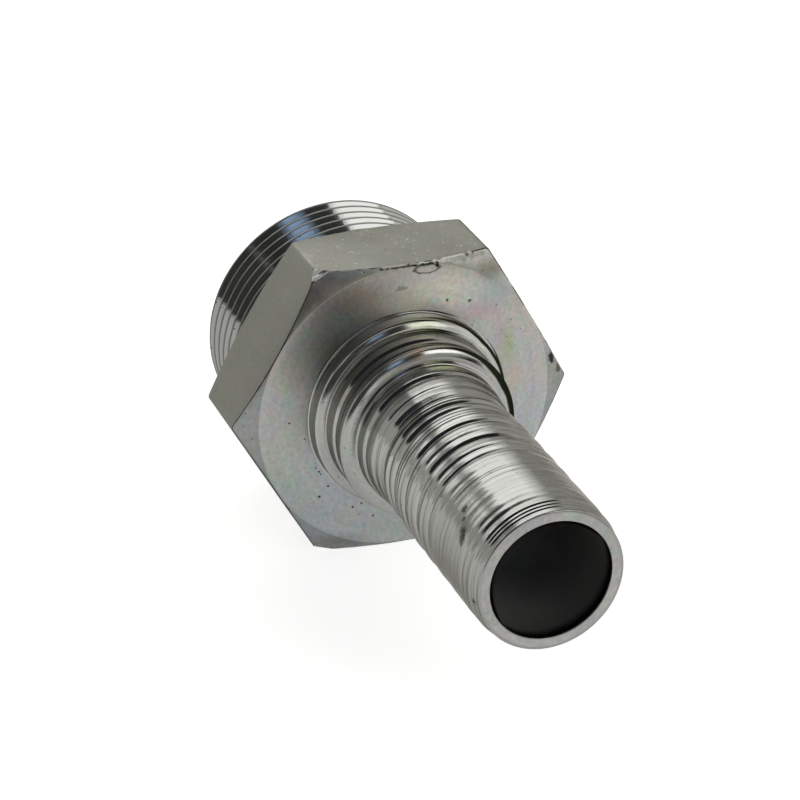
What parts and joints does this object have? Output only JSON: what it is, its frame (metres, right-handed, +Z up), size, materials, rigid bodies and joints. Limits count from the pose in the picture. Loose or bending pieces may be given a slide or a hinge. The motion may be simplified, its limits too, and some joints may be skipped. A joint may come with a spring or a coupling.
{
  "type": "crimp hydraulic hose fitting",
  "caption": "Straight crimp insert for a hydraulic hose: male thread with cone seat, hexagon, ferrule collar and grooved hose tail around a through bore.",
  "frame": {"origin": "on the bore axis, in the plane where the hexagon meets the ferrule collar", "axes": "+X along the bore toward the hose end, +Z up through the middle of a hexagon flat"},
  "size_m": [0.0781, 0.0474, 0.041],
  "materials": {
    "plated_steel": "bright zinc plating over turned steel"
  },
  "bodies": {
    "root": {"hose_insert": "plated_steel"}
  },
  "joints": []
}
